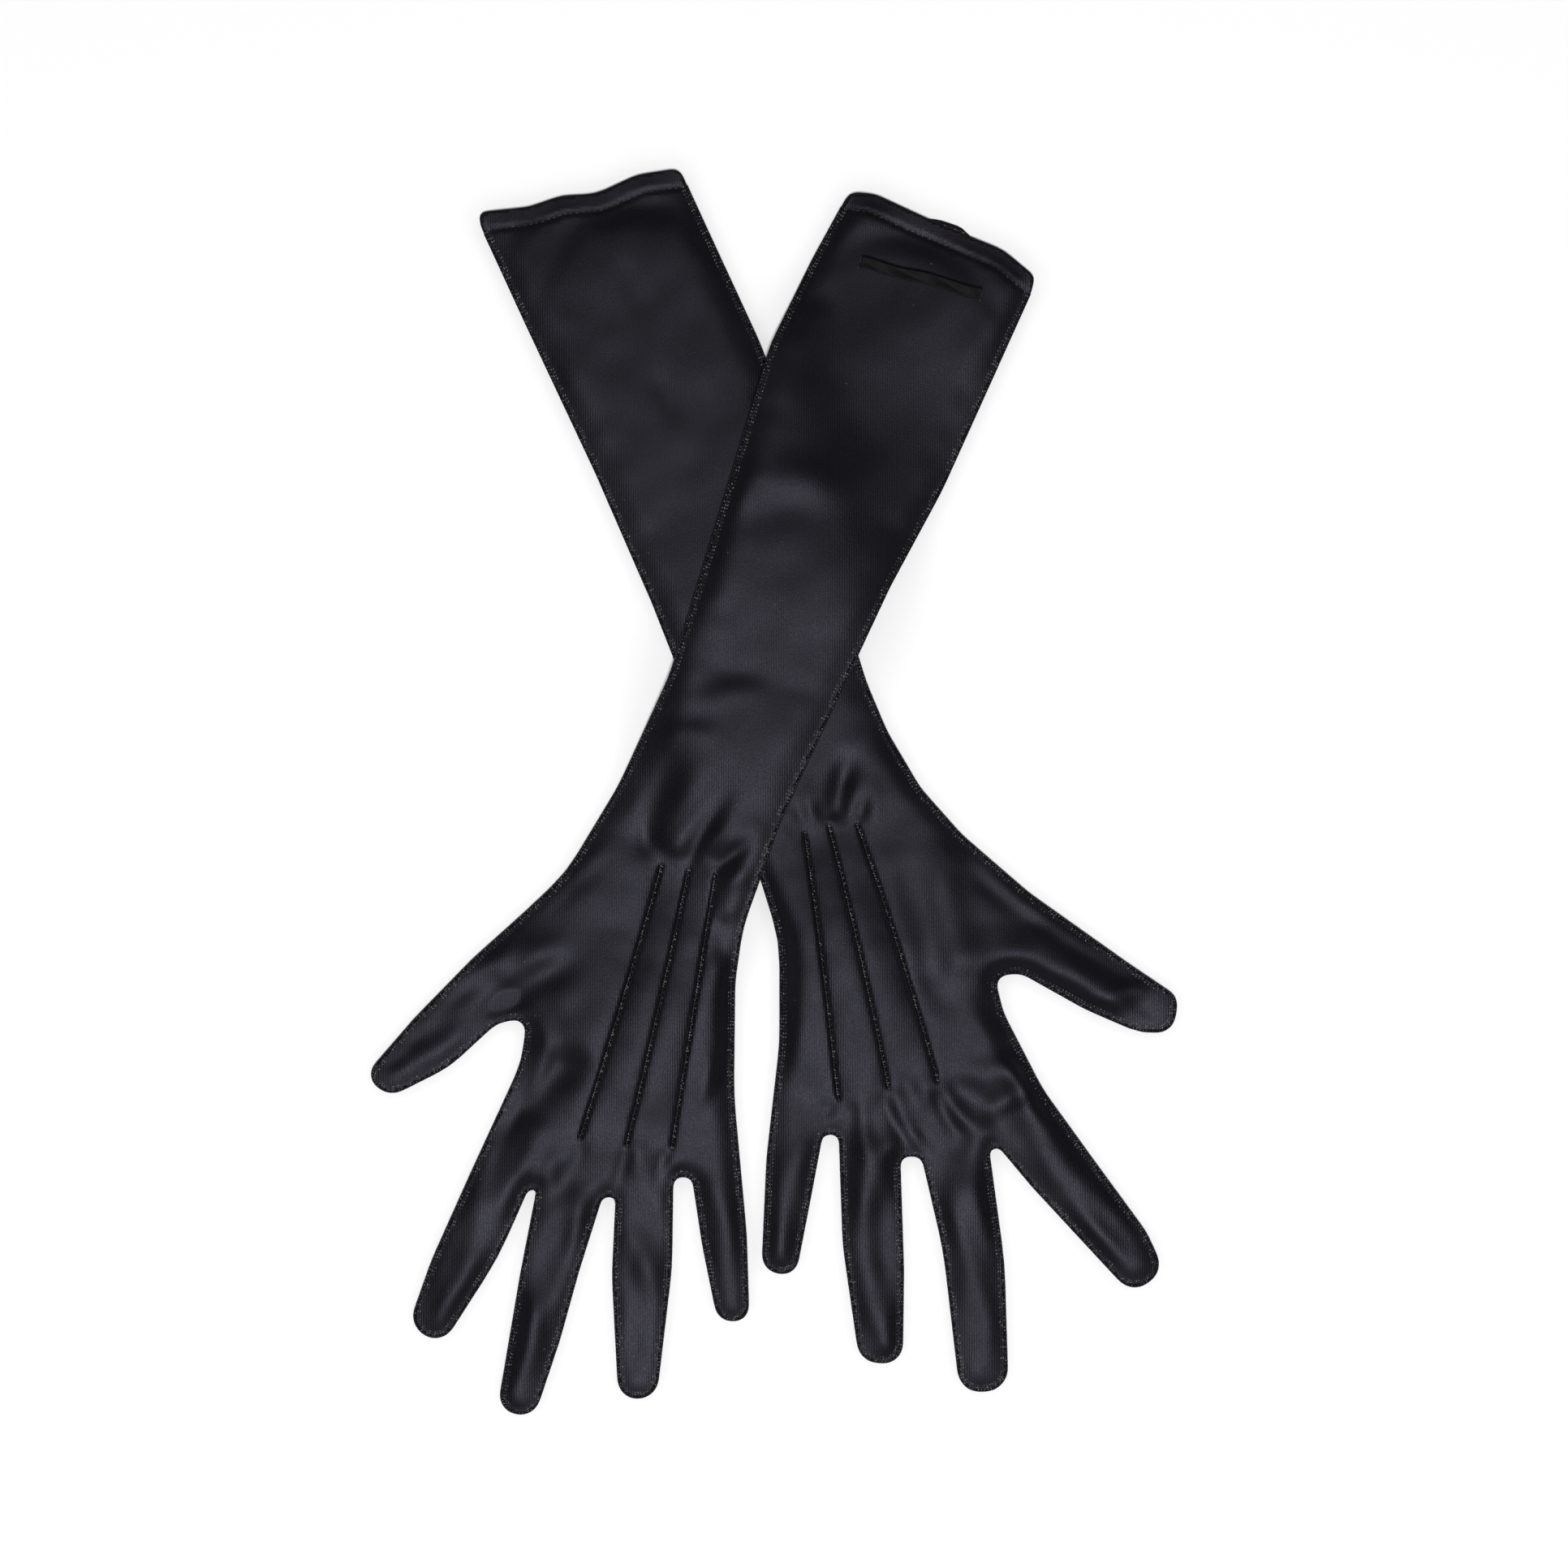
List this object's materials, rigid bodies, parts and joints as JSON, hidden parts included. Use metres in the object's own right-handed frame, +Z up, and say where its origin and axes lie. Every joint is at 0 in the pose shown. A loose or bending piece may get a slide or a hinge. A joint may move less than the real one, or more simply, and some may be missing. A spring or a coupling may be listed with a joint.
{
  "type": "opera gloves",
  "caption": "Pair of elbow-length fitted cloth gloves laid flat and crossed, with stitched points, hemmed mouths and a ribbon keeper loop.",
  "frame": {"origin": "on the table, under the middle of the crossed pair", "axes": "+X to the right, +Y from the fingertips towards the mouths, +Z up from the table"},
  "size_m": [0.3124, 0.4828, 0.0129],
  "materials": {
    "black_satin": "satin stretch cloth",
    "edge_thread": "satin thread",
    "point_thread": "satin thread",
    "sewing_thread": "thread",
    "black_ribbon": "matt ribbed ribbon",
    "woven_label": "woven label, gold on black"
  },
  "bodies": {
    "right_glove": {"right_palm_panel": "black_satin", "right_back_panel": "black_satin", "right_edge_seam": "edge_thread", "right_hem_stitching": "sewing_thread", "right_point_index": "point_thread", "right_point_middle": "point_thread", "right_point_little": "point_thread", "right_fork_tacks": "sewing_thread"},
    "left_glove": {"left_palm_panel": "black_satin", "left_back_panel": "black_satin", "left_edge_seam": "edge_thread", "left_hem_stitching": "sewing_thread", "left_point_index": "point_thread", "left_point_middle": "point_thread", "left_point_little": "point_thread", "left_fork_tacks": "sewing_thread", "left_label": "woven_label", "left_label_stitching": "sewing_thread", "left_loop_tacks": "sewing_thread"},
    "keeper_loop": {"left_keeper_loop": "black_ribbon"}
  },
  "joints": [
    {"name": "left_glove_lift", "type": "slide", "parent": "right_glove", "child": "left_glove", "axis": [0, 0, 1], "range_m": [0, 0.12]},
    {"name": "keeper_loop_swing", "type": "hinge", "parent": "left_glove", "child": "keeper_loop", "pos_m": [0.0576, 0.20072, 0.00685], "axis": [-0.9659, 0.2588, 0], "range_deg": [0, 90]}
  ]
}
